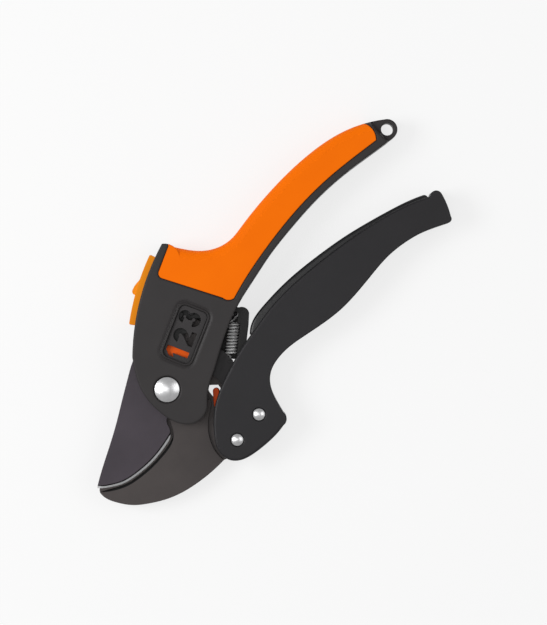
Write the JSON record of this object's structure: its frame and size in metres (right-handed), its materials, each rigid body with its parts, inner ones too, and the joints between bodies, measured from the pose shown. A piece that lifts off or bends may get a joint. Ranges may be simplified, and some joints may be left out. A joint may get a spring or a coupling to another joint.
{
  "type": "ratchet pruning shears",
  "caption": "Hand pruning shears with a hooked counter blade, a pivoting cutting blade and a stepped ratchet link that closes it, with a thumb lock.",
  "frame": {"origin": "centre of the bounding box at its lowest face, tool lying flat and closed", "axes": "+X from the blade tips to the handle ends, +Y towards the lock slider side, +Z through the thickness"},
  "size_m": [0.23, 0.1056, 0.0208],
  "materials": {
    "housing": "satin glass-filled nylon",
    "handle": "satin glass-filled nylon",
    "grip": "soft moulded grip",
    "plate": "satin",
    "orange_plastic": "semi gloss",
    "buffer": "soft",
    "coated_steel": "low-friction coating over ground steel",
    "link_steel": "blackened steel",
    "bright_steel": "bright zinc",
    "spring_steel": "drawn wire",
    "carrier": "satin",
    "insert": "satin"
  },
  "bodies": {
    "frame": {"housing_front": "housing", "housing_rear": "housing", "grip_overmould": "grip", "number_plate": "plate", "housing_screws": "bright_steel", "counter_blade": "coated_steel", "pivot_bolt": "bright_steel", "pivot_nut": "bright_steel", "pivot_washers": "bright_steel", "pivot_bushing": "bright_steel", "stop_buffer": "buffer"},
    "blade": {"cutting_blade": "coated_steel", "spring_carrier": "carrier", "carrier_rivets": "link_steel", "extension_spring": "spring_steel"},
    "lower_handle": {"lower_handle": "handle", "handle_insert": "insert", "handle_rivets": "bright_steel"},
    "link": {"ratchet_link": "link_steel", "indicator_flag": "orange_plastic", "spring_post": "link_steel"},
    "lock": {"lock_slider": "orange_plastic", "lock_tongue": "bright_steel"}
  },
  "joints": [
    {"name": "handle_pivot", "type": "hinge", "parent": "frame", "child": "lower_handle", "pos_m": [-0.04884, -0.04114, 0.00955], "axis": [0, 0, -1], "range_deg": [0, 32]},
    {"name": "blade_pivot", "type": "hinge", "parent": "frame", "child": "blade", "pos_m": [-0.05569, 0.00036, 0.00955], "axis": [0, 0, -1], "range_deg": [0, 27.7], "deforming": ["extension_spring"]},
    {"name": "link_pivot", "type": "hinge", "parent": "lower_handle", "child": "link", "pos_m": [-0.03259, -0.03984, 0.00955], "axis": [0, 0, 1], "range_deg": [0, 28.02]},
    {"name": "lock_slide", "type": "hinge", "parent": "frame", "child": "lock", "pos_m": [0.02661, -0.06174, 0.00955], "axis": [0, 0, 1], "range_deg": [0, 1.93]}
  ],
  "couplings": [
    {"joint": "blade_pivot", "follows": "handle_pivot", "ratio": 0.865},
    {"joint": "link_pivot", "follows": "handle_pivot", "ratio": 0.875}
  ]
}
